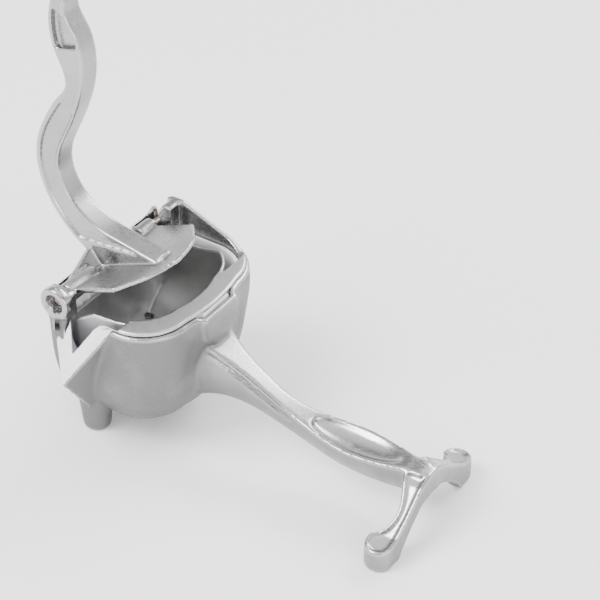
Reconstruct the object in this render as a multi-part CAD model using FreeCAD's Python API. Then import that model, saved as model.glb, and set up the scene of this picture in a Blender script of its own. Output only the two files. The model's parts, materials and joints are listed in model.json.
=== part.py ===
"""Hand citrus press: a cast cup with hinge ears, legs and a handle, a plastic liner and a
perforated strainer in it, and a lever with a pressing plate that turns on two steel pins.

Millimetres, +Z up.  The model is laid out about the hinge line (x = 0, y = 0) above the
table (z = 0), with +X towards the handle's end, and is moved to its row origin at export.
"""
import FreeCAD
import Part
import math
import os
from FreeCAD import Vector

# ---- driving dimensions -------------------------------------------------------------
HINGE_Z = 93.0            # hinge line above the table
CUP_HALF = 54.0           # cup half width at the rim
CUP_FRONT = 77.0          # hinge line to the cup's front
CUP_FLOOR = 6.0           # cup's underside above the table
CUP_WALL = 3.6
BACK_X = -6.0             # outer back face of the cup
FAR_WALL_TOP = 110.2      # the far side wall stands up to the hinge post

LINER_WALL = 1.8
LINER_FLOOR = 24.0
LINER_TOP = 85.0          # back edge of the liner, under the hinge trough
RIB_R = 1.1
BACK_RIBS = 11
SIDE_RIBS = 6

STRAINER_HALF = 44.4
STRAINER_LENGTH = 66.0
STRAINER_R = 61.5         # the bowl is turned to this radius
STRAINER_RISE = 2.5       # its axis above the hinge line
STRAINER_BOW = 3.0
STRAINER_CORNER = 27.0
STRAINER_POST_R = 10.0     # upright corners at the back
STRAINER_HEEL = 12.0      # bend from the flat back to the bottom
STRAINER_WALL = 1.8
STRAINER_BACK_X = 1.4
BACK_EDGE = 79.5          # top of the strainer's back wall
HOLE_D = 4.4
HOLE_PITCH = 11.5
PEG_R = 8.5               # locating peg on the strainer's front

EAR_R = 10.0
EAR_OUT = 52.0            # outer faces of the ears, from the middle
EAR_LEN = 11.0
PIN_R = 3.2
HEAD_R = 4.3              # the fixed pin's head
PIN_FIT = 0.05            # radial running clearance
BUSH_R = 4.8
COUNTERBORE_R = 5.6
COUNTERBORE_DEPTH = 4.0
TROUGH_R = 8.0
POST_X = 13.2             # front face of the post beside the slot
SLOT_EAR_Y = 47.0         # inner face of the ear with the open slot
BAR_TOP = 95.7
BAR_BACK = -9.2

LEG_X = 12.0
LEG_Y = 36.0
LEG_R = 8.2
LEG_DRAFT = 0.09

HANDLE_END = 212.0        # hinge line to the centres of the two feet
FOOT_Y = 42.0
FOOT_R = 8.4
FOOT_TOP = 15.0

PLATE_HALF = 38.0
PLATE_LENGTH = 54.0
PLATE_T = 3.2
PLATE_PITCH = 15.0        # plate below the level when the arm stands upright
BOSS_R = 6.0
BOSS_END = 40.4
ARM_RIM_HALF = 7.0
ARM_WEB_HALF = 4.8
ARM_RIM = 3.2
OPEN_ANGLE = 38.0         # from the arm upright to the open stop
CLEAR = 0.3               # between pieces that don't fit together

V = Vector
UP = V(0, 0, 1)
# from the hinge line's middle, on the table, to the middle of the whole press's footprint
ROW_SHIFT = V(-88.4, 7.65, 0)


# ---- small helpers ------------------------------------------------------------------
def box(x0, x1, y0, y1, z0, z1):
    return Part.makeBox(x1 - x0, y1 - y0, z1 - z0, V(x0, y0, z0))


def spline(points):
    curve = Part.BSplineCurve()
    curve.interpolate([V(*p) for p in points])
    return curve.toShape()


def poly_face(points):
    pts = [V(*p) for p in points]
    return Part.Face(Part.makePolygon(pts + [pts[0]]))


def prism_y(profile, y0, y1):
    """Extrude an (x, z) outline from y0 to y1."""
    face = poly_face([(x, y0, z) for x, z in profile])
    return face.extrude(V(0, y1 - y0, 0))


def prism_x(profile, x0, x1):
    """Extrude a (y, z) outline from x0 to x1."""
    face = poly_face([(x0, y, z) for y, z in profile])
    return face.extrude(V(x1 - x0, 0, 0))


def arc3(a, b, c):
    return Part.Arc(V(*a), V(*b), V(*c)).toShape()


def clean(shape):
    """One tidy solid from a boolean result."""
    out = shape.removeSplitter()
    solids = out.Solids
    if len(solids) == 1:
        return solids[0]
    return out


def d_outline(z, back, front, half, r_back, r_front):
    """Closed D-shaped wire at height z: straight back, bowed front, rounded corners."""
    bow = 3.0 * half / CUP_HALF
    fx = front - bow
    q = math.sqrt(0.5)
    cb, cf = back + r_back, fx - r_front
    hb, hf = half - r_back, half - r_front
    left = Part.makeLine(V(cb, -half, z), V(cf, -half, z))
    corner_fl = arc3((cf, -half, z), (cf + r_front * q, -hf - r_front * q, z), (fx, -hf, z))
    nose = arc3((fx, -hf, z), (front, 0, z), (fx, hf, z))
    corner_fr = arc3((fx, hf, z), (cf + r_front * q, hf + r_front * q, z), (cf, half, z))
    right = Part.makeLine(V(cf, half, z), V(cb, half, z))
    corner_br = arc3((cb, half, z), (cb - r_back * q, hb + r_back * q, z), (back, hb, z))
    rear = Part.makeLine(V(back, hb, z), V(back, -hb, z))
    corner_bl = arc3((back, -hb, z), (cb - r_back * q, -hb - r_back * q, z), (cb, -half, z))
    return Part.Wire([left, corner_fl, nose, corner_fr, right, corner_br, rear, corner_bl])


# ---- the cup's volume, used for the casting, its hollow and the liner ----------------
# height as a share of the rim's height over the floor: (share, back shift, front share,
# half-width share, corner share)
BOWL = [
    (0.000, 16.0, 0.50, 0.33, 0.55),
    (0.060, 8.0, 0.66, 0.56, 0.75),
    (0.160, 3.0, 0.80, 0.73, 0.90),
    (0.280, 0.8, 0.895, 0.84, 1.0),
    (0.450, 0.0, 0.95, 0.925, 1.0),
    (0.680, 0.0, 0.985, 0.975, 1.0),
    (1.000, 0.0, 1.0, 1.0, 1.0),
    (1.300, 0.0, 1.005, 1.005, 1.0),
]


def bowl(offset, floor):
    wires = []
    for share, back, front, half, corner in BOWL:
        z = floor + share * (HINGE_Z - floor)
        h = CUP_HALF * half - offset
        f = CUP_FRONT * front - offset
        b = BACK_X + back + offset
        r_front = min(28.0 * corner, h - 2.0)
        wires.append(d_outline(z, b, f, h, 6.0 * corner, r_front))
    return Part.makeLoft(wires, True, False)


SPOUT_FRONT = (43.0, -52.5, 93.0)
SPOUT_BACK = (-1.0, -51.0, 74.0)
SPOUT_TIP = (19.0, -71.0, 55.0)
SPOUT_FOOT = (15.0, -42.0, 14.0)
NOTCH_HALF = 16.0         # the front bump between the rim's two notches
BUMP_Z = 84.0
BUMP_FRONT = 79.5


def spout(offset):
    """Wedge that pushes the near wall out to the pouring tip."""
    fx, fy, fz = SPOUT_FRONT
    bx, by, bz = SPOUT_BACK
    tx, ty, tz = SPOUT_TIP
    qx, qy, qz = SPOUT_FOOT
    k = offset * 1.25
    rise = 0.0 if offset == 0 else 40.0
    front = V(fx - 1.3 * offset, fy + offset, fz)
    back = V(bx + 1.3 * offset, by + offset, bz)
    tip = V(tx, ty + 1.5 * k, tz)
    foot = V(qx, qy + k, qz + 1.6 * k)
    core = V(20.0, -24.0, 56.0)
    faces = [(front, back, tip), (front, tip, foot), (back, foot, tip),
             (front, core, back), (front, foot, core), (back, core, foot)]
    shell = Part.Shell([Part.Face(Part.makePolygon([a, b, c, a])) for a, b, c in faces])
    solid = Part.Solid(shell)
    if solid.Volume < 0:
        solid.reverse()
    if rise:
        mouth = Part.Face(Part.makePolygon([front, back, tip, front]))
        solid = solid.fuse(mouth.extrude(V(0, 0, rise)))
    return solid


def bump(offset):
    """Round-bottomed bump in the front wall that takes the strainer's peg."""
    r = NOTCH_HALF - offset
    end = BUMP_FRONT - offset
    barrel = Part.makeCylinder(r, end - 50.0, V(50.0, 0, BUMP_Z), V(1, 0, 0))
    upper = box(50.0, end, -r, r, BUMP_Z, BUMP_Z + 36.0)
    return barrel.fuse(upper)


def cup_volume(offset, floor):
    return bowl(offset, floor).fuse([spout(offset), bump(offset)])


def above_spout():
    """Everything above the sloping mouth of the spout."""
    f, b, t = V(*SPOUT_FRONT), V(*SPOUT_BACK), V(*SPOUT_TIP)
    inward_f = f + (f - t) * 0.9
    inward_b = b + (b - t) * 0.9
    side_f = f + (t - f) * 1.3
    side_b = b + (t - b) * 1.3
    pts = [inward_f, f, side_f, side_b, b, inward_b]
    return Part.Face(Part.makePolygon(pts + [pts[0]])).extrude(V(0, 0, 80))


def above_rim(drop):
    """Everything above the rim: level at the front and near side, rising at the far side."""
    top = 60.0
    near = box(-40, 100, -90, CUP_HALF - 12, HINGE_Z - drop, HINGE_Z + top)
    z = HINGE_Z - drop
    far = prism_y([(58, z), (110, z), (110, z + top), (-40, z + top),
                   (-40, FAR_WALL_TOP - drop), (14, FAR_WALL_TOP - drop)],
                  CUP_HALF - 12, CUP_HALF + 30)
    return near.fuse(far)


# ---- casting ---------------------------------------------------------------------------
# handle sections: x, top z, bottom z, half width at the top, half width at the belly
HANDLE = [
    (62.0, 72.0, 24.0, 15.5, 22.0),
    (74.0, 71.0, 29.5, 13.0, 16.0),
    (92.0, 60.5, 32.0, 7.4, 9.5),
    (110.0, 50.5, 29.5, 5.8, 7.0),
    (126.0, 43.0, 25.5, 6.0, 6.4),
    (142.0, 39.3, 21.5, 8.4, 7.2),
    (158.0, 37.6, 18.3, 11.6, 8.8),
    (173.0, 37.2, 17.2, 12.6, 9.4),
    (188.0, 37.4, 17.4, 11.0, 8.6),
    (202.0, 38.0, 18.6, 7.8, 7.0),
    (216.0, 38.4, 22.0, 6.6, 6.0),
]
GROOVE_DROP = 3.4
GROOVE_H = 2.2
GROOVE_IN = 1.3


def handle_section(x, top, bottom, w_top, w_belly):
    """Shield-shaped section: flat top, full flanks and a rounded keel."""
    mid = bottom + (top - bottom) * 0.45
    keel = w_belly * 0.55
    low = bottom + (top - bottom) * 0.08
    pts = [(w_top, top), (w_belly, mid), (keel, low)]
    left = [(-y, z) for y, z in reversed(pts)]
    edges = [Part.makeLine(V(x, -w_top, top), V(x, w_top, top)),
             spline([(x, y, z) for y, z in pts]),
             arc3((x, keel, low), (x, 0, bottom), (x, -keel, low)),
             spline([(x, y, z) for y, z in left])]
    return Part.Wire(edges)


def handle_groove():
    """Narrow groove under the top plate on both sides, from the cup to the dimple."""
    rows = [row for row in HANDLE if 74.0 <= row[0] <= 142.0]
    upper = [(r[0], r[1] - GROOVE_DROP) for r in rows]
    lower = [(r[0], r[1] - GROOVE_DROP - GROOVE_H) for r in reversed(rows)]
    upper[0] = (76.5, upper[0][1] - 0.8)
    lower[-1] = (76.5, lower[-1][1] - 0.8)
    upper[-1] = (upper[-1][0], upper[-1][1] - GROOVE_H * 0.5)
    lower[0] = upper[-1]
    del lower[0]
    band = prism_y(upper + lower, -40, 40)
    outer = [(r[0], -(r[3] - GROOVE_IN), 0) for r in rows]
    inner = [(r[0], r[3] - GROOVE_IN, 0) for r in reversed(rows)]
    core = poly_face(outer + inner).extrude(V(0, 0, 120))
    return band.cut(core)


def dimple():
    """Leaf-shaped thumb hollow in the top of the handle."""
    ball = Part.makeSphere(1.0)
    m = FreeCAD.Matrix()
    m.scale(29.5, 10.2, 5.4)
    m.move(V(170.5, 0, 38.4))
    return ball.transformGeometry(m)


def foot_arm(sign, inset, base):
    """Plan of one arm: bowed inner side, straight front, round foot; extruded upwards."""
    r = FOOT_R - inset
    fx, fy = HANDLE_END, FOOT_Y
    front = 220.6 - inset
    p = {
        "root_in": (205.0 + inset, 5.0 + 1.2 * inset), "in1": (210.0 + inset, 17.0),
        "waist": (212.6 + inset, 27.0), "in2": (210.4 + inset, 33.8), "foot_in": (fx - r * 0.94, fy - r * 0.34),
        "foot_end": (fx - r * 0.1, fy + r), "foot_out": (fx + r * 0.98, fy + r * 0.2),
        "front": (front, 28.0), "root_out": (front - 0.4, 2.0 + 1.2 * inset),
    }
    q = {k: (x, sign * y, base) for k, (x, y) in p.items()}
    edges = [spline([q["root_in"], q["in1"], q["waist"], q["in2"], q["foot_in"]]),
             arc3(q["foot_in"], q["foot_end"], q["foot_out"]),
             Part.makeLine(V(*q["foot_out"]), V(*q["front"])),
             Part.makeLine(V(*q["front"]), V(*q["root_out"])),
             Part.makeLine(V(*q["root_out"]), V(*q["root_in"]))]
    return Part.Face(Part.Wire(edges)).extrude(V(0, 0, 60))


def arm_slab(drop):
    """Everything under the arms' sloping tops, less the arch under them."""
    top = [(-60, 13.0), (-47, 14.6), (-37, 17.6), (-24, 26.5), (-12, 35.6), (-5, 38.2)]
    outline = [(y, z - drop) for y, z in top] + [(-y, z - drop) for y, z in reversed(top)]
    low = [(60, 0), (33.5, 0), (31, 5), (21, 15), (10, 22), (-10, 22), (-21, 15), (-31, 5),
           (-33.5, 0), (-60, 0)]
    return prism_x(outline + low, 190, 240)


def feet():
    solid = None
    for sign in (-1, 1):
        arm = foot_arm(sign, 0.0, 0.0).common(arm_slab(0.0))
        pocket = foot_arm(sign, 2.1, 0.0).cut(arm_slab(1.6))
        arm = arm.cut(pocket)
        solid = arm if solid is None else solid.fuse(arm)
    bridge = box(203.0, 220.2, -5.2, 5.2, 22.5, 38.3)
    return solid.fuse(bridge)


def legs():
    height = 46.0
    top_r = LEG_R + height * LEG_DRAFT
    out = []
    for sign in (-1, 1):
        leg = Part.makeCone(LEG_R, top_r, height, V(LEG_X, sign * LEG_Y, 0), UP)
        rim = [e for e in leg.Edges if abs(e.BoundBox.ZMax) < 0.01]
        out.append(leg.makeFillet(1.8, rim))
    return out


def ears():
    """Left ear: closed ring on a block.  Right ear: open slot between a hook and a post."""
    y0 = -EAR_OUT
    r = PIN_R + PIN_FIT
    ring = Part.makeCylinder(EAR_R, EAR_LEN * 0.55, V(0, y0, HINGE_Z), V(0, 1, 0))
    block = box(-8.6, 8.8, y0 + EAR_LEN * 0.5, y0 + EAR_LEN, HINGE_Z - 9.5, HINGE_Z + 6.6)
    crown = [e for e in block.Edges if e.BoundBox.ZMin > HINGE_Z + 6 and e.BoundBox.YLength > 1]
    block = block.makeFillet(3.0, crown)
    gusset = prism_y([(-6.0, HINGE_Z - 7), (8.0, HINGE_Z - 7), (5.2, HINGE_Z - 19)],
                     y0 + 1.2, y0 + 6.0)
    inner, outer, slot = EAR_OUT - EAR_LEN, EAR_OUT, SLOT_EAR_Y
    post = prism_y([(r, HINGE_Z - 8), (POST_X, HINGE_Z - 8), (POST_X, FAR_WALL_TOP),
                    (7.0, FAR_WALL_TOP), (r, HINGE_Z + 11)], inner, outer)
    seat = prism_y([(BAR_BACK, HINGE_Z - 6), (-2.4, HINGE_Z - 9.5), (POST_X, HINGE_Z - 9.5),
                    (POST_X, HINGE_Z), (BAR_BACK, HINGE_Z)], inner, outer)
    hook = prism_y([(BAR_BACK, HINGE_Z - 6), (BAR_BACK, HINGE_Z + 2.4), (-7.6, HINGE_Z + 6.0),
                    (-5.4, HINGE_Z + 8.2), (-r, HINGE_Z + 7.6), (-r, HINGE_Z - 6)],
                   slot, outer - 0.8)
    lever_room = Part.makeCylinder(TROUGH_R, slot - inner, V(0, inner, HINGE_Z), V(0, 1, 0))
    lever_room = lever_room.fuse(box(-TROUGH_R, r + 0.01, inner, slot, HINGE_Z, HINGE_Z + 40))
    post, seat = post.cut(lever_room), seat.cut(lever_room)
    return [ring, block, gusset, post, seat, hook]


def pin_cuts():
    axis = V(0, 1, 0)
    r = PIN_R + PIN_FIT
    start = EAR_OUT - EAR_LEN - 4
    left = Part.makeCylinder(BUSH_R, EAR_LEN + 2, V(0, -EAR_OUT - 1, HINGE_Z), axis)
    mouth = Part.makeCylinder(COUNTERBORE_R, COUNTERBORE_DEPTH + 1, V(0, -EAR_OUT - 1, HINGE_Z), axis)
    right = Part.makeCylinder(r, 24, V(0, start, HINGE_Z), axis)
    slot = box(-r, r, start, EAR_OUT + 6, HINGE_Z, HINGE_Z + 60)
    head_r = HEAD_R + CLEAR
    head = Part.makeCylinder(head_r, 10, V(0, EAR_OUT, HINGE_Z), axis)
    head_slot = box(-20, head_r, EAR_OUT, EAR_OUT + 10, HINGE_Z, HINGE_Z + 60)
    return [left, mouth, right, slot, head, head_slot]


def hinge_bar():
    """Thick top of the back wall, where the trough that the lever turns in is cut."""
    inner = BACK_X + CUP_WALL
    return prism_y([(BAR_BACK, HINGE_Z - 4), (BAR_BACK, BAR_TOP - 0.8), (BAR_BACK + 0.8, BAR_TOP),
                    (inner, BAR_TOP), (inner, HINGE_Z - 18), (BACK_X, HINGE_Z - 14)],
                   -EAR_OUT + 2, EAR_OUT - 2)


def casting():
    outer = cup_volume(0.0, CUP_FLOOR)
    outer = outer.cut(above_rim(0.0)).cut(above_spout())
    handle = Part.makeLoft([handle_section(*row) for row in HANDLE], True, False)
    handle = handle.cut(handle_groove()).cut(dimple())
    solid = outer.fuse([handle, feet(), hinge_bar()] + legs())
    hollow = cup_volume(CUP_WALL, CUP_FLOOR + CUP_WALL)
    solid = solid.cut(hollow)
    inside = EAR_OUT - EAR_LEN
    trough = Part.makeCylinder(TROUGH_R, inside + SLOT_EAR_Y, V(0, -inside, HINGE_Z), V(0, 1, 0))
    gap = box(-30, PIN_R + PIN_FIT, inside, CUP_HALF + 5, HINGE_Z + 2.4, HINGE_Z + 60)
    solid = solid.cut([trough, gap])
    ear_parts = ears()
    solid = solid.fuse(ear_parts).cut(pin_cuts())
    recess = box(50, 90, -NOTCH_HALF, NOTCH_HALF, HINGE_Z - 1.5, HINGE_Z + 10)
    solid = solid.cut(recess)
    return clean(solid)


def hinge_bush():
    """Pressed bush in the closed ear, behind the counterbore."""
    y0 = -EAR_OUT + COUNTERBORE_DEPTH
    length = EAR_LEN - COUNTERBORE_DEPTH
    tube = Part.makeCylinder(BUSH_R, length, V(0, y0, HINGE_Z), V(0, 1, 0))
    bore = Part.makeCylinder(PIN_R + PIN_FIT, length + 2, V(0, y0 - 1, HINGE_Z), V(0, 1, 0))
    return tube.cut(bore)


# ---- liner -----------------------------------------------------------------------------
LIP_RISE = 2.0            # white lip that covers the spout's metal edge
LIP_GAP = 0.1


def post_room():
    """Room for the post and the seat of the open ear."""
    return box(-12, POST_X + CLEAR, EAR_OUT - EAR_LEN - CLEAR, 60, HINGE_Z - 9.5 - CLEAR, 140)


def above_liner():
    """Everything above the liner's top edge: low at the back, level with the rim in front."""
    ledge = HINGE_Z - 2.0
    return prism_y([(-40, LINER_TOP), (2.6, LINER_TOP), (8, ledge), (60, ledge), (66, HINGE_Z - 0.2),
                    (120, HINGE_Z - 0.2), (120, HINGE_Z + 90), (-40, HINGE_Z + 90)], -100, 100)


def lip():
    """Flat white lip along both edges of the spout's mouth."""
    f, b, t = V(*SPOUT_FRONT), V(*SPOUT_BACK), V(*SPOUT_TIP)
    up = V(0, 0, LIP_GAP)
    mouth = Part.Face(Part.makePolygon([f + up, b + up, t + up, f + up]))
    plate = mouth.extrude(V(0, 0, LIP_RISE))
    opening = spout(CUP_WALL + CLEAR + LINER_WALL)
    return plate.cut(opening).cut(box(-30, 120, -EAR_OUT + 3, 90, 0, 140)).cut(
        box(-30, 3.2, -90, 90, 0, 140))


def ribs():
    out = []
    face = BACK_X + CUP_WALL + CLEAR + LINER_WALL
    low, high = LINER_FLOOR + 12, LINER_TOP - 5
    for i in range(BACK_RIBS):
        y = (i - (BACK_RIBS - 1) / 2) * 2 * (CUP_HALF - 19) / (BACK_RIBS - 1)
        out.append(Part.makeCylinder(RIB_R, high - low, V(face, y, low), UP))
    wall = CUP_HALF - CUP_WALL - CLEAR - LINER_WALL
    for i in range(SIDE_RIBS):
        x = 12.0 + 4.6 * i
        out.append(Part.makeCylinder(RIB_R, 28.0, V(x, wall - 1.2, LINER_FLOOR + 26), UP))
    return out


def liner():
    skin = CUP_WALL + CLEAR
    outer = cup_volume(skin, LINER_FLOOR)
    inner = cup_volume(skin + LINER_WALL, LINER_FLOOR + LINER_WALL)
    mouth = above_spout()
    mouth.translate(V(0, 0, LIP_GAP + 0.6))
    solid = outer.cut(above_liner()).cut(mouth)
    rib_zone = outer.cut(above_liner())
    solid = solid.cut(inner)
    kept = [rib.common(rib_zone) for rib in ribs()]
    boss = Part.makeCylinder(5.0, 14.0, V(20.0, 12.0, LINER_FLOOR - 6), UP).common(rib_zone)
    boss = boss.cut(box(-50, 100, -100, 100, HINGE_Z + STRAINER_RISE - STRAINER_R - 0.8, 200))
    solid = solid.fuse(kept + [boss, lip()])
    block_room = box(-12, 8.8 + CLEAR, -60, -EAR_OUT + EAR_LEN + CLEAR, HINGE_Z - 9.5 - CLEAR, 140)
    gusset_room = box(-12, 8.0 + CLEAR, -60, -EAR_OUT + 6.0 + CLEAR, HINGE_Z - 19 - CLEAR, 140)
    foot_room = box(5.0, 25.0, -60.0, -35.5, 0.0, 26.5)
    return clean(solid.cut([post_room(), block_room, gusset_room, foot_room]))


# ---- strainer ----------------------------------------------------------------------------
def strainer_volume(offset):
    """D-shaped outline turned about a line near the hinge, with a flat back and a rounded heel."""
    r, half = STRAINER_R - offset, STRAINER_HALF - offset
    corner = STRAINER_CORNER - offset
    cx, cz = STRAINER_LENGTH - STRAINER_R, HINGE_Z + STRAINER_RISE
    side_end, nose = cx + r - STRAINER_BOW - corner, half - corner
    q = math.sqrt(0.5)
    mid = side_end + corner * q
    edges = [Part.makeLine(V(cx, -half, cz), V(side_end, -half, cz)),
             arc3((side_end, -half, cz), (mid, -nose - corner * q, cz), (side_end + corner, -nose, cz)),
             arc3((side_end + corner, -nose, cz), (cx + r, 0, cz), (side_end + corner, nose, cz)),
             arc3((side_end + corner, nose, cz), (mid, nose + corner * q, cz), (side_end, half, cz)),
             Part.makeLine(V(side_end, half, cz), V(cx, half, cz)),
             Part.makeLine(V(cx, half, cz), V(cx, -half, cz))]
    bowl_solid = Part.Face(Part.Wire(edges)).revolve(V(cx, 0, cz), V(0, 1, 0), 180)
    back, low = STRAINER_BACK_X + offset, cz - r
    heel = STRAINER_HEEL - offset
    bend = arc3((back, -90, low + heel), (back + heel * (1 - q), -90, low + heel * (1 - q)),
                (back + heel, -90, low))
    outline = [Part.makeLine(V(back, -90, 150), V(back, -90, low + heel)), bend,
               Part.makeLine(V(back + heel, -90, low), V(120, -90, low)),
               Part.makeLine(V(120, -90, low), V(120, -90, 150)),
               Part.makeLine(V(120, -90, 150), V(back, -90, 150))]
    room = Part.Face(Part.Wire(outline)).extrude(V(0, 180, 0))
    upright = STRAINER_POST_R - offset
    plan = Part.Face(d_outline(0, back, 2 * STRAINER_LENGTH, half, upright, upright)).extrude(V(0, 0, 150))
    return bowl_solid.common(room).common(plan)


def strainer_top():
    """Everything above the strainer's edge: low back, dipping sides, level front."""
    top = HINGE_Z + STRAINER_RISE
    near = prism_y([(-20, BACK_EDGE), (4.2, BACK_EDGE), (22, HINGE_Z - 2), (46, HINGE_Z + 0.1),
                    (46, 150), (-20, 150)], -90, -20)
    low = V(-20, -20, BACK_EDGE), V(4.2, -20, BACK_EDGE), V(9.5, -20, HINGE_Z - 0.5)
    dip = Part.Arc(low[2], V(28, -20, HINGE_Z - 4.5), V(50, -20, top)).toShape()
    edges = [Part.makeLine(low[0], low[1]), Part.makeLine(low[1], low[2]), dip,
             Part.makeLine(V(50, -20, top), V(50, -20, 150)),
             Part.makeLine(V(50, -20, 150), V(-20, -20, 150)),
             Part.makeLine(V(-20, -20, 150), low[0])]
    far = Part.Face(Part.Wire(edges)).extrude(V(0, 110, 0))
    front = box(40, 140, -90, 90, top, 150)
    return [near, far, front]


# rows of drain holes: (degrees before straight down, holes, y of the first); the first row is
# square to the heel's bend, the others point at the line the bowl is turned about
HOLE_ROWS = [(-45.0, 5, -22.0), (14.0, 4, -20.6), (26.5, 6, -26.4)]


def strainer_holes():
    out = []
    cx, cz = STRAINER_LENGTH - STRAINER_R, HINGE_Z + STRAINER_RISE
    for angle, count, first in HOLE_ROWS:
        way = V(math.sin(math.radians(angle)), 0, -math.cos(math.radians(angle)))
        middle, radius = V(cx, 0, cz), STRAINER_R
        if angle < 0:
            middle = V(STRAINER_BACK_X + STRAINER_HEEL, 0, cz - STRAINER_R + STRAINER_HEEL)
            radius = STRAINER_HEEL
        for i in range(count):
            start = middle + way * (radius - 8.0) + V(0, first + i * HOLE_PITCH, 0)
            out.append(Part.makeCylinder(HOLE_D / 2, 14.0, start, way))
    return out


def strainer():
    shell = strainer_volume(0.0)
    outline = d_outline(HINGE_Z + 0.1, 0, CUP_FRONT - 1.6, CUP_HALF - 1.6, 6, 27)
    flange = Part.Face(outline).extrude(V(0, 0, STRAINER_RISE - 0.1))
    flange = flange.cut([box(-20, 46, -90, 0, 0, 150), box(-20, 63, 0, 90, 0, 150)])
    peg_end = BUMP_FRONT - CUP_WALL - CLEAR - LINER_WALL - 0.4
    peg_start = STRAINER_LENGTH - 8.0
    peg = Part.makeCylinder(PEG_R, peg_end - peg_start, V(peg_start, 0, BUMP_Z), V(1, 0, 0))
    rim = [e for e in peg.Edges if e.BoundBox.XMin > peg_end - 0.01]
    peg = peg.makeFillet(1.2, rim)
    solid = shell.fuse([flange, peg]).cut(strainer_volume(STRAINER_WALL))
    solid = clean(solid).cut(strainer_top() + [post_room()])
    return clean(solid.cut(strainer_holes()))


# ---- lever, drawn about the hinge line with its arm upright --------------------------------
ARM_OUTER = [(-3.8, 2), (-4.3, 8.5), (-8.0, 20), (-10, 34), (-9.2, 48), (-5, 62), (3, 75), (14, 84.5), (28, 91.5),
             (44, 97), (57, 101.5), (61.5, 110), (65, 122), (72, 134), (80, 142), (86, 145.3)]
ARM_INNER = [(90.5, 138), (86.5, 132.5), (85.3, 124), (82.5, 114), (76, 104), (65, 93.5), (50, 84),
             (34, 76), (20.5, 69), (12, 60), (7.8, 48), (8.5, 35), (14, 21.5), (24, 9.5), (35, -2.5),
             (42, -10)]
TIP_MID = (91.2, 143.2)
FINGER_START = 10          # index in ARM_OUTER where the turned-up end begins


def shifted(points, distance):
    """Points moved to the left of their direction of travel."""
    out = []
    for i, (x, z) in enumerate(points):
        x0, z0 = points[max(i - 1, 0)]
        x1, z1 = points[min(i + 1, len(points) - 1)]
        length = math.hypot(x1 - x0, z1 - z0)
        out.append((x - (z1 - z0) / length * distance, z + (x1 - x0) / length * distance))
    return out


def at_y(points, y):
    return [(x, y, z) for x, z in points]


def arm_blank(half):
    y = -half
    outer, inner = at_y(ARM_OUTER, y), at_y(ARM_INNER, y)
    tip = arc3(outer[-1], (TIP_MID[0], y, TIP_MID[1]), inner[0])
    heel = (-4.0, y, -4.0)
    edges = [spline(outer), tip, spline(inner), Part.makeLine(V(*inner[-1]), V(*heel)),
             Part.makeLine(V(*heel), V(*outer[0]))]
    return Part.Face(Part.Wire(edges)).extrude(V(0, 2 * half, 0))


def side_pocket(outer, inner, depth_half, side):
    """Shallow pocket in one side face, between two edge curves."""
    start = side * depth_half
    a, b = at_y(outer, start), at_y(inner, start)
    edges = [spline(a), Part.makeLine(V(*a[-1]), V(*b[0])), spline(b),
             Part.makeLine(V(*b[-1]), V(*a[0]))]
    return Part.Face(Part.Wire(edges)).extrude(V(0, side * 20, 0))


def arm():
    solid = arm_blank(ARM_RIM_HALF)
    outer = shifted(ARM_OUTER, -ARM_RIM)
    inner = shifted(ARM_INNER, -ARM_RIM * 0.62)
    finger_out = shifted(ARM_OUTER, -2.2)[FINGER_START + 2:-1]
    finger_in = shifted(ARM_INNER, -2.2)[1:4]
    cuts = []
    for side in (-1, 1):
        cuts.append(side_pocket(outer[2:FINGER_START], inner[6:15], ARM_WEB_HALF, side))
        cuts.append(side_pocket(finger_out, finger_in, 2.6, side))
    return solid.cut(cuts)


def wing_plate():
    """D-shaped pressing plate, folded slightly along its middle, keel down."""
    h, n = PLATE_HALF, PLATE_LENGTH
    pts = [V(0, -h, -60), V(n * 0.67, -h, -60), V(n * 0.9, -h * 0.62, -60)]
    nose = Part.Arc(pts[2], V(n, 0, -60), V(n * 0.9, h * 0.62, -60)).toShape()
    edges = [Part.makeLine(pts[0], pts[1]), Part.makeLine(pts[1], pts[2]), nose,
             Part.makeLine(V(n * 0.9, h * 0.62, -60), V(n * 0.67, h, -60)),
             Part.makeLine(V(n * 0.67, h, -60), V(0, h, -60)),
             Part.makeLine(V(0, h, -60), pts[0])]
    plan = Part.Face(Part.Wire(edges)).extrude(V(0, 0, 120))
    fold = 2.4
    base = 2.2
    slab = prism_x([(-60, base + fold * 20 / 38), (0, base - fold), (60, base + fold * 20 / 38),
                    (60, base + fold * 20 / 38 - PLATE_T), (0, base - fold - PLATE_T + 0.6),
                    (-60, base + fold * 20 / 38 - PLATE_T)], -20, 90)
    plate = slab.common(plan)
    plate.rotate(V(0, 0, 0), V(0, 1, 0), PLATE_PITCH)
    return plate


BOSS_INNER = 16.0         # the sprung side's boss reaches this far in
BORE_R = 4.4
BORE_END = 19.0
SHOULDERS = [(-37, 4), (-9, 13), (9, 13), (37, 4), (37, -3.5), (-37, -3.5)]


def in_place(shape):
    """Turn from arm upright to the open stop, then lift to the hinge line."""
    shape.rotate(V(0, 0, 0), V(0, 1, 0), -OPEN_ANGLE)
    shape.translate(V(0, 0, HINGE_Z))
    return shape


def lever():
    axis = V(0, 1, 0)
    left = Part.makeCylinder(BOSS_R, BOSS_END - BOSS_INNER, V(0, -BOSS_END, 0), axis)
    right = Part.makeCylinder(BOSS_R, 14.0, V(0, BOSS_END - 14.0, 0), axis)
    shoulder = prism_x(SHOULDERS, -3.9, -0.2)
    solid = wing_plate().fuse([left, right, shoulder, arm()])
    bore = Part.makeCylinder(BORE_R, BOSS_END - BORE_END + 1, V(0, -BOSS_END - 1, 0), axis)
    socket = Part.makeCylinder(PIN_R, 13.0, V(0, BOSS_END - 12.0, 0), axis)
    return clean(in_place(clean(solid.cut([bore, socket]))))


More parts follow.
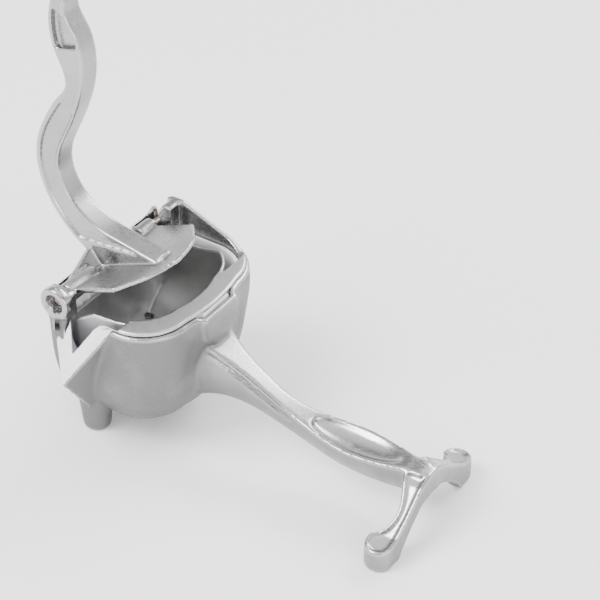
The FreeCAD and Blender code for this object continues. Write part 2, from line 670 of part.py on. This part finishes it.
PLUNGER_TIP = -47.4
SHOULDER_START = -37.4
SHOULDER_LEN = 3.0
COLLAR_LEN = 2.7


def plunger():
    axis = V(0, 1, 0)
    shank = Part.makeCylinder(PIN_R, SHOULDER_START - PLUNGER_TIP, V(0, PLUNGER_TIP, HINGE_Z), axis)
    tip = [e for e in shank.Edges if e.BoundBox.YMax < PLUNGER_TIP + 0.01]
    shank = shank.makeChamfer(0.6, tip)
    collar = Part.makeCylinder(BORE_R - 0.1, SHOULDER_LEN, V(0, SHOULDER_START, HINGE_Z), axis)
    tail_start = SHOULDER_START + SHOULDER_LEN
    tail = Part.makeCylinder(2.0, 4.0, V(0, tail_start, HINGE_Z), axis)
    return clean(shank.fuse([collar, tail]))


def plunger_collar():
    axis = V(0, 1, 0)
    ring = Part.makeCylinder(BORE_R, COLLAR_LEN, V(0, -BOSS_END, HINGE_Z), axis)
    return ring.cut(Part.makeCylinder(PIN_R + PIN_FIT, 6, V(0, -BOSS_END - 1, HINGE_Z), axis))


def plunger_spring():
    wire_r, coil_r = 0.45, 3.3
    start = SHOULDER_START + SHOULDER_LEN + wire_r + 0.05
    end = -BORE_END - wire_r - 0.05
    helix = Part.makeHelix(2.3, end - start, coil_r)
    profile = Part.Wire(Part.makeCircle(wire_r, V(coil_r, 0, 0), V(0, 1, 0)))
    coil = Part.Wire(helix).makePipeShell([profile], True, True)
    coil.rotate(V(0, 0, 0), V(1, 0, 0), -90)
    coil.translate(V(0, start, HINGE_Z))
    return coil


def fixed_pin():
    axis = V(0, 1, 0)
    start = BOSS_END - 12.0
    end = EAR_OUT + 0.5
    shank = Part.makeCylinder(PIN_R, end - start, V(0, start, HINGE_Z), axis)
    head = Part.makeCylinder(HEAD_R, 3.2, V(0, end, HINGE_Z), axis)
    rim = [e for e in head.Edges if e.BoundBox.YMin > end + 3.1]
    return clean(shank.fuse(head.makeChamfer(0.7, rim)))


NODES = {
    "press_body": casting,
    "hinge_bush": hinge_bush,
    "cup_liner": liner,
    "strainer_cup": strainer,
    "press_lever": lever,
    "plunger_pin": plunger,
    "plunger_collar": plunger_collar,
    "plunger_spring": plunger_spring,
    "fixed_pin": fixed_pin,
}


def main():
    os.makedirs("parts", exist_ok=True)
    for name, build in NODES.items():
        shape = build()
        shape.translate(ROW_SHIFT)
        print(name, shape.ShapeType, len(shape.Solids), shape.isValid(), round(shape.Volume / 1000, 2),
              shape.BoundBox)
        shape.exportStep("parts/" + name + ".step")


main()
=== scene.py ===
"""Looks of a hand fruit press: cast aluminium body, lever and strainer, plastic liner, steel pins."""
import json
import math

import bpy
import numpy as np
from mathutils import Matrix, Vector


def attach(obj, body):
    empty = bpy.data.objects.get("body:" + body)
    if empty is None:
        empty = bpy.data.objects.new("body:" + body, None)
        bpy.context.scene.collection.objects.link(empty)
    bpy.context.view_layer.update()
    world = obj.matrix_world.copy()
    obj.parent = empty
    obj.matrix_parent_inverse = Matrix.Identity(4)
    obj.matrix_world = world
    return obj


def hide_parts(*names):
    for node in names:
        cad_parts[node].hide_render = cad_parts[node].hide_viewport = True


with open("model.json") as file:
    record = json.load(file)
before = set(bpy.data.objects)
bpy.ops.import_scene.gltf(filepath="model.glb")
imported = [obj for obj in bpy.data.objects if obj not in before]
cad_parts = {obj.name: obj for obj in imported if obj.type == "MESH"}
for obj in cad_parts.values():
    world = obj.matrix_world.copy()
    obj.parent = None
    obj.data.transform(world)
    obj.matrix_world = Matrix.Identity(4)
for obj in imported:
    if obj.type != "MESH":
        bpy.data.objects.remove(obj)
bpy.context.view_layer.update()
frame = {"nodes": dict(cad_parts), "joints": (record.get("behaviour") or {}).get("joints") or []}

# ---- places read from the frame -----------------------------------------------------------------
MM = 0.001
hinge = Vector(frame["joints"][0]["pos_m"])

# ---- camera ---------------------------------------------------------------------------------------
CAMERA_AZIMUTH = 33.7       # degrees round from the -Y side towards +X
CAMERA_ELEVATION = 37.3     # degrees above the table
CAMERA_DISTANCE = 1.12
CAMERA_TARGET = (hinge.x + 0.0889, hinge.y + 0.065, 0.06)
CAMERA_LENS = 113.4         # mm, on the sensor width below
CAMERA_SENSOR = 36.0
CAMERA_CLIP_END = 20.0


def make_camera():
    data = bpy.data.cameras.new("camera")
    data.lens = CAMERA_LENS
    data.sensor_width = CAMERA_SENSOR
    data.clip_end = CAMERA_CLIP_END
    camera = bpy.data.objects.new("camera", data)
    bpy.context.scene.collection.objects.link(camera)
    a, e = math.radians(CAMERA_AZIMUTH), math.radians(CAMERA_ELEVATION)
    back = Vector((math.sin(a) * math.cos(e), -math.cos(a) * math.cos(e), math.sin(e)))
    camera.location = Vector(CAMERA_TARGET) + back * CAMERA_DISTANCE
    camera.rotation_euler = back.to_track_quat("Z", "Y").to_euler()
    bpy.context.scene.camera = camera


# ---- node helpers -----------------------------------------------------------------------------------
class Nodes:
    """Short calls for building one material's node tree."""

    def __init__(self, name):
        self.material = bpy.data.materials.new(name)
        self.material.use_nodes = True
        self.tree = self.material.node_tree
        self.shader = self.tree.nodes["Principled BSDF"]
        place = self.add("ShaderNodeTexCoord")
        self.place = place.outputs["Object"]

    def add(self, kind, **settings):
        node = self.tree.nodes.new(kind)
        for key, value in settings.items():
            setattr(node, key, value)
        return node

    def link(self, a, b):
        self.tree.links.new(a, b)

    def put(self, socket, value):
        """Link an output to the socket, or set the socket to a plain value."""
        if hasattr(value, "node"):
            self.link(value, socket)
        else:
            socket.default_value = value

    def noise(self, scale, detail=3.0, roughness=0.5, where=None):
        node = self.add("ShaderNodeTexNoise")
        node.inputs["Scale"].default_value = scale
        node.inputs["Detail"].default_value = detail
        node.inputs["Roughness"].default_value = roughness
        self.link(where or self.place, node.inputs["Vector"])
        return node.outputs["Fac"]

    def stretched(self, scales):
        node = self.add("ShaderNodeMapping")
        node.inputs["Scale"].default_value = scales
        self.link(self.place, node.inputs["Vector"])
        return node.outputs["Vector"]

    def attribute(self, name):
        return self.add("ShaderNodeAttribute", attribute_name=name).outputs["Fac"]

    def math(self, operation, a, b=0.0, clamp=False):
        node = self.add("ShaderNodeMath", operation=operation, use_clamp=clamp)
        self.put(node.inputs[0], a)
        self.put(node.inputs[1], b)
        return node.outputs[0]

    def remap(self, value, low, high, to_low, to_high):
        node = self.add("ShaderNodeMapRange", interpolation_type="SMOOTHSTEP")
        limits = {"From Min": low, "From Max": high, "To Min": to_low, "To Max": to_high}
        for key, number in limits.items():
            node.inputs[key].default_value = number
        self.link(value, node.inputs["Value"])
        return node.outputs["Result"]

    def mix(self, share, a, b, kind="RGBA"):
        node = self.add("ShaderNodeMix", data_type=kind)
        self.put(node.inputs["Factor"], share)
        self.put(node.inputs["A"], a)
        self.put(node.inputs["B"], b)
        return node.outputs["Result"]

    def bump(self, height, strength, distance, under=None):
        node = self.add("ShaderNodeBump")
        node.inputs["Distance"].default_value = distance
        self.put(node.inputs["Strength"], strength)
        self.link(height, node.inputs["Height"])
        if under is not None:
            self.link(under, node.inputs["Normal"])
        return node.outputs["Normal"]


def grey(level):
    return (level, level, level, 1.0)


# ---- materials ----------------------------------------------------------------------------------------
# noise scales, in cells per metre or so
PIT_SCALE = 2600.0
CLOUD_SCALE = 38.0
STREAK_SCALE = 60.0
STREAK_STRETCH = (4.0, 14.0, 14.0)
# depths of the bumps, in metres
PIT_DEPTH = 0.00022
HOLLOW_DEPTH = 0.0005
FINE_DEPTH = 0.0001

LINER_SHADE = (0.86, 0.845, 0.92, 1)
LINER_LIGHT = (0.93, 0.92, 0.96, 1)
LINER_SCATTER = (0.006, 0.006, 0.008)

RING_SCALE = 900.0
RING_STRETCH = (0.05, 3.0, 0.05)
STAIN_SCALE = 220.0


def cast_metal(name, dark, light, matte, gloss, grain=0.5):
    """Cast aluminium: blasted where the polish share is 0, hand-polished and brighter where it is 1; on
    the body and lever this share also holds painted highlight and painted sheen.
    """
    n = Nodes(name)
    polish_and_sheen = n.attribute("polish_and_sheen")
    pits = n.noise(PIT_SCALE, 2.0, 0.7)
    cloud = n.noise(CLOUD_SCALE, 4.0, 0.6)
    streaks = n.noise(STREAK_SCALE, 3.0, 0.6, n.stretched(STREAK_STRETCH))
    # real polish plus painted highlight and sheen from the body and lever rules, with random cloud tone
    polish_and_sheen_share = n.math("ADD", polish_and_sheen, n.remap(cloud, 0.35, 0.7, -0.12, 0.12), clamp=True)
    blasted = n.math("SUBTRACT", 1.0, polish_and_sheen_share)
    tone = n.mix(polish_and_sheen_share, grey(dark), grey(light))
    speck = n.remap(pits, 0.3, 0.7, 0.0, 0.14)
    tone = n.mix(n.math("MULTIPLY", speck, blasted), tone, grey(dark * 0.55))
    n.link(tone, n.shader.inputs["Base Color"])
    rough = n.mix(polish_and_sheen_share, matte, gloss, "FLOAT")
    rough = n.math("ADD", rough, n.remap(streaks, 0.3, 0.7, -0.05, 0.07))
    n.link(rough, n.shader.inputs["Roughness"])
    n.shader.inputs["Metallic"].default_value = 1.0
    hollows = n.bump(cloud, 0.10, HOLLOW_DEPTH)
    coarse = n.math("MULTIPLY", n.math("SUBTRACT", 1.08, polish_and_sheen_share), grain)
    n.link(n.bump(pits, coarse, PIT_DEPTH, hollows), n.shader.inputs["Normal"])
    return n.material


def liner_plastic():
    """Frosted white plastic with a faint lilac cast."""
    n = Nodes("liner_plastic")
    cloud = n.noise(30.0, 3.0)
    fine = n.noise(1500.0, 2.0)
    tone = n.mix(n.remap(cloud, 0.3, 0.7, 0.0, 1.0), LINER_SHADE, LINER_LIGHT)
    n.link(tone, n.shader.inputs["Base Color"])
    n.link(n.remap(cloud, 0.3, 0.7, 0.30, 0.42), n.shader.inputs["Roughness"])
    n.shader.inputs["Subsurface Weight"].default_value = 0.35
    n.shader.inputs["Subsurface Radius"].default_value = LINER_SCATTER
    n.shader.inputs["Subsurface Scale"].default_value = 1.0
    n.link(n.bump(fine, 0.12, FINE_DEPTH), n.shader.inputs["Normal"])
    return n.material


def turned_steel(name, dark, light, rough):
    """Turned steel with fine rings along the hinge line and a brown oil tint."""
    n = Nodes(name)
    rings = n.noise(RING_SCALE, 2.0, 0.5, n.stretched(RING_STRETCH))
    stain = n.noise(STAIN_SCALE, 3.0)
    tone = n.mix(n.remap(stain, 0.35, 0.65, 0.0, 1.0), dark, light)
    n.link(tone, n.shader.inputs["Base Color"])
    n.link(n.remap(rings, 0.3, 0.7, rough - 0.07, rough + 0.1), n.shader.inputs["Roughness"])
    n.shader.inputs["Metallic"].default_value = 1.0
    n.link(n.bump(rings, 0.35, FINE_DEPTH), n.shader.inputs["Normal"])
    return n.material


# name, tone where blasted, tone where polished, roughness of each, grain of the blasting
BODY_METAL = cast_metal("blasted_casting", 0.20, 0.40, 0.50, 0.22)
LEVER_METAL = cast_metal("polished_casting", 0.24, 0.42, 0.38, 0.20, 0.35)
STRAINER_METAL = cast_metal("satin_casting", 0.38, 0.56, 0.46, 0.32, 0.3)
LINER = liner_plastic()
PIN_STEEL = turned_steel("pin_steel", (0.30, 0.24, 0.21, 1), (0.52, 0.45, 0.41, 1), 0.26)
DARK_STEEL = turned_steel("dark_steel", (0.16, 0.15, 0.15, 1), (0.34, 0.33, 0.33, 1), 0.32)


# ---- cast pieces with soft edges --------------------------------------------------------------------
SMOOTH_FACTOR = 0.5


def cast_copy(node, name, voxel, rounds, keep, material):
    """The CAD node's shape with every edge rounded, as a casting comes out of its mould."""
    source = frame["nodes"][node]
    mesh = source.data.copy()
    mesh.name = name
    mesh.materials.clear()
    mesh.materials.append(material)
    piece = bpy.data.objects.new(name, mesh)
    bpy.context.scene.collection.objects.link(piece)
    remesh = piece.modifiers.new("remesh", "REMESH")
    remesh.mode = "VOXEL"
    remesh.voxel_size = voxel
    remesh.use_smooth_shade = True
    soften = piece.modifiers.new("soften", "SMOOTH")
    soften.factor = SMOOTH_FACTOR
    soften.iterations = rounds
    thin = piece.modifiers.new("thin", "DECIMATE")
    thin.ratio = keep
    graph = bpy.context.evaluated_depsgraph_get()
    final = bpy.data.meshes.new_from_object(piece.evaluated_get(graph))
    piece.modifiers.clear()
    piece.data = final
    final.name = name
    for polygon in final.polygons:
        polygon.use_smooth = True
    if not final.materials:
        final.materials.append(material)
    final.materials[0] = material
    return piece


def corners_and_normals(mesh):
    count = len(mesh.vertices)
    points = np.empty(count * 3, np.float32)
    mesh.vertices.foreach_get("co", points)
    normals = np.empty(count * 3, np.float32)
    mesh.vertex_normals.foreach_get("vector", normals)
    return points.reshape(-1, 3), normals.reshape(-1, 3)


def smooth_step(values, low, high):
    t = np.clip((values - low) / (high - low), 0, 1)
    return t * t * (3 - 2 * t)


# ---- where the metal is polished, and where painted highlight and sheen brighten it -----------------
SPREAD_ROUNDS = 8               # how often the sharpness is shared with the neighbours
EDGE_BAND = (70.0, 320.0)       # curvature, per metre, where an edge starts and ends to shine
EDGE_POLISH = 0.85

# bands over which the polish comes in, measured from the hinge line
RIM_BAND = (-3.0 * MM, -0.4 * MM)
BAR_BAND = (-9 * MM, -7 * MM)
HANDLE_BAND = (70 * MM, 88 * MM)
BOWL_BAND = (15 * MM, 50 * MM)
# upward share of the normal over which the painted highlight on the handle's top comes in
TOP_HIGHLIGHT_BAND = (-0.2, 0.75)       # upward share of the normal


def edge_sharpness(mesh, points, normals):
    """How far each vertex stands out from its neighbours: above 0 on outer edges."""
    count = len(mesh.edges)
    ends = np.empty(count * 2, np.int32)
    mesh.edges.foreach_get("vertices", ends)
    ends = ends.reshape(-1, 2)
    delta = points[ends[:, 1]] - points[ends[:, 0]]
    length = np.maximum(np.linalg.norm(delta, axis=1), 1e-9)
    turn = normals[ends[:, 1]] - normals[ends[:, 0]]
    bend = (turn * delta).sum(axis=1) / length ** 2
    total = np.zeros(len(points))
    weight = np.zeros(len(points))
    for side in (0, 1):
        np.add.at(total, ends[:, side], bend)
        np.add.at(weight, ends[:, side], 1)
    value = total / np.maximum(weight, 1)
    for _ in range(SPREAD_ROUNDS):
        spread = np.zeros(len(points))
        np.add.at(spread, ends[:, 0], value[ends[:, 1]])
        np.add.at(spread, ends[:, 1], value[ends[:, 0]])
        value = 0.5 * value + 0.5 * spread / np.maximum(weight, 1)
    return value


def set_polish_and_sheen(piece, rule):
    """Store the piece's polish and painted sheen, from its own rule and its edges, for cast_metal to
    read.
    """
    mesh = piece.data
    points, normals = corners_and_normals(mesh)
    edges = smooth_step(edge_sharpness(mesh, points, normals), *EDGE_BAND)
    share = rule(points - np.array(hinge, np.float32), normals) + EDGE_POLISH * edges
    layer = mesh.attributes.new("polish_and_sheen", "FLOAT", "POINT")
    layer.data.foreach_set("value", np.clip(share, 0, 1).astype(np.float32))


def body_polish_and_highlight(p, n):
    """Blasted cup; ground rim, ears, hinge bar, and the polished handle, whose upward faces also get a
    painted highlight.
    """
    x, z = p[:, 0], p[:, 2]
    rim = smooth_step(z, *RIM_BAND)
    bar = smooth_step(z, *BAR_BAND) * smooth_step(-x, *BAR_BAND)
    handle = smooth_step(x, *HANDLE_BAND)
    # painted highlight: the handle's upward faces are painted brighter, as if lit from above
    top_highlight = smooth_step(n[:, 2], *TOP_HIGHLIGHT_BAND)
    return np.maximum(np.maximum(rim, bar), handle * (0.40 + 0.55 * top_highlight))


def lever_polish_and_sheen(p, n):
    """Polished all over, with a painted sheen that makes the sides brighter."""
    # painted sheen: faces turned to plus or minus Y are painted brighter
    return 0.45 + 0.25 * np.abs(n[:, 1])


def strainer_polish(p, n):
    """Satin all over, brighter towards the bottom of the bowl."""
    return 0.45 + 0.35 * smooth_step(-p[:, 2], *BOWL_BAND)


def liner_polish(p, n):
    return np.zeros(len(p))


CASTINGS = [
    # node, piece, body, slot,
    # voxel in mm, smoothing rounds, share of faces kept, material, rule for polish and painted sheen
    ("press_body", "body_casting", "base", "blasted_casting",
     0.8, 18, 0.5, BODY_METAL, body_polish_and_highlight),
    ("press_lever", "lever_casting", "lever", "polished_casting",
     0.6, 18, 0.6, LEVER_METAL, lever_polish_and_sheen),
    ("strainer_cup", "strainer_casting", "base", "satin_casting",
     0.55, 14, 0.5, STRAINER_METAL, strainer_polish),
    ("cup_liner", "liner_moulding", "base", "liner_plastic",
     0.65, 8, 0.5, LINER, liner_polish),
]

PINS = [
    ("hinge_bush", DARK_STEEL),
    ("plunger_collar", DARK_STEEL),
    ("plunger_pin", PIN_STEEL),
    ("plunger_spring", PIN_STEEL),
    ("fixed_pin", PIN_STEEL),
]


def make_castings():
    for node, name, body, slot, voxel, rounds, keep, material, rule in CASTINGS:
        piece = cast_copy(node, name, voxel * MM, rounds, keep, material)
        set_polish_and_sheen(piece, rule)
        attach(piece, body)
        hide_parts(node)


def dress_pins():
    """The pins, bush, collar and spring keep their CAD shapes and only get a material."""
    for node, material in PINS:
        mesh = frame["nodes"][node].data
        for i in range(len(mesh.materials)):
            mesh.materials[i] = material


# ---- studio -------------------------------------------------------------------------------------------
FLOOR_HALF = 6.0
FLOOR_TONE = 0.93
LIGHT_AIM = (0, 0, 0.08)
LIGHTS = [
    # name, place, size, power
    ("key", (-0.7, -0.9, 1.5), (0.9, 0.9), 48.0),
    ("fill", (1.5, -0.8, 0.9), (1.2, 0.8), 18.0),
    ("back", (0.3, 1.5, 1.3), (1.6, 0.5), 36.0),
]
SKY_STRENGTH = 2.3
# height of the view direction, brightness: a bright horizon, a dark band above it, a bright top
SKY_STOPS = [(0.0, 1.0), (0.22, 1.0), (0.42, 0.40), (0.66, 0.18), (0.82, 0.75), (1.0, 1.0)]


def make_floor():
    mesh = bpy.data.meshes.new("floor")
    h = FLOOR_HALF
    mesh.from_pydata([(-h, -h, 0), (h, -h, 0), (h, h, 0), (-h, h, 0)], [], [(0, 1, 2, 3)])
    floor = bpy.data.objects.new("floor", mesh)
    bpy.context.scene.collection.objects.link(floor)
    n = Nodes("floor_paper")
    n.shader.inputs["Base Color"].default_value = grey(FLOOR_TONE)
    n.shader.inputs["Roughness"].default_value = 0.85
    n.shader.inputs["Specular IOR Level"].default_value = 0.1
    mesh.materials.append(n.material)


def area_light(name, place, size, power):
    data = bpy.data.lights.new(name, "AREA")
    data.shape = "RECTANGLE"
    data.size, data.size_y = size
    data.energy = power
    light = bpy.data.objects.new(name, data)
    light.location = place
    aim = Vector(LIGHT_AIM) - Vector(place)
    light.rotation_euler = aim.to_track_quat("-Z", "Y").to_euler()
    bpy.context.scene.collection.objects.link(light)


def make_sky():
    """A grey sky whose brightness follows the height of the view direction."""
    world = bpy.data.worlds.new("studio")
    bpy.context.scene.world = world
    world.use_nodes = True
    tree = world.node_tree
    back = tree.nodes["Background"]
    place = tree.nodes.new("ShaderNodeTexCoord")
    split = tree.nodes.new("ShaderNodeSeparateXYZ")
    ramp = tree.nodes.new("ShaderNodeValToRGB")
    stops = ramp.color_ramp.elements
    stops[0].position, stops[0].color = SKY_STOPS[0][0], grey(SKY_STOPS[0][1])
    stops[1].position, stops[1].color = SKY_STOPS[-1][0], grey(SKY_STOPS[-1][1])
    for position, level in SKY_STOPS[1:-1]:
        stops.new(position).color = grey(level)
    tree.links.new(place.outputs["Generated"], split.inputs[0])
    tree.links.new(split.outputs["Z"], ramp.inputs["Fac"])
    tree.links.new(ramp.outputs["Color"], back.inputs["Color"])
    back.inputs["Strength"].default_value = SKY_STRENGTH


def make_lights():
    for name, place, size, power in LIGHTS:
        area_light(name, place, size, power)
    make_sky()


make_camera()
make_castings()
dress_pins()
make_floor()
make_lights()
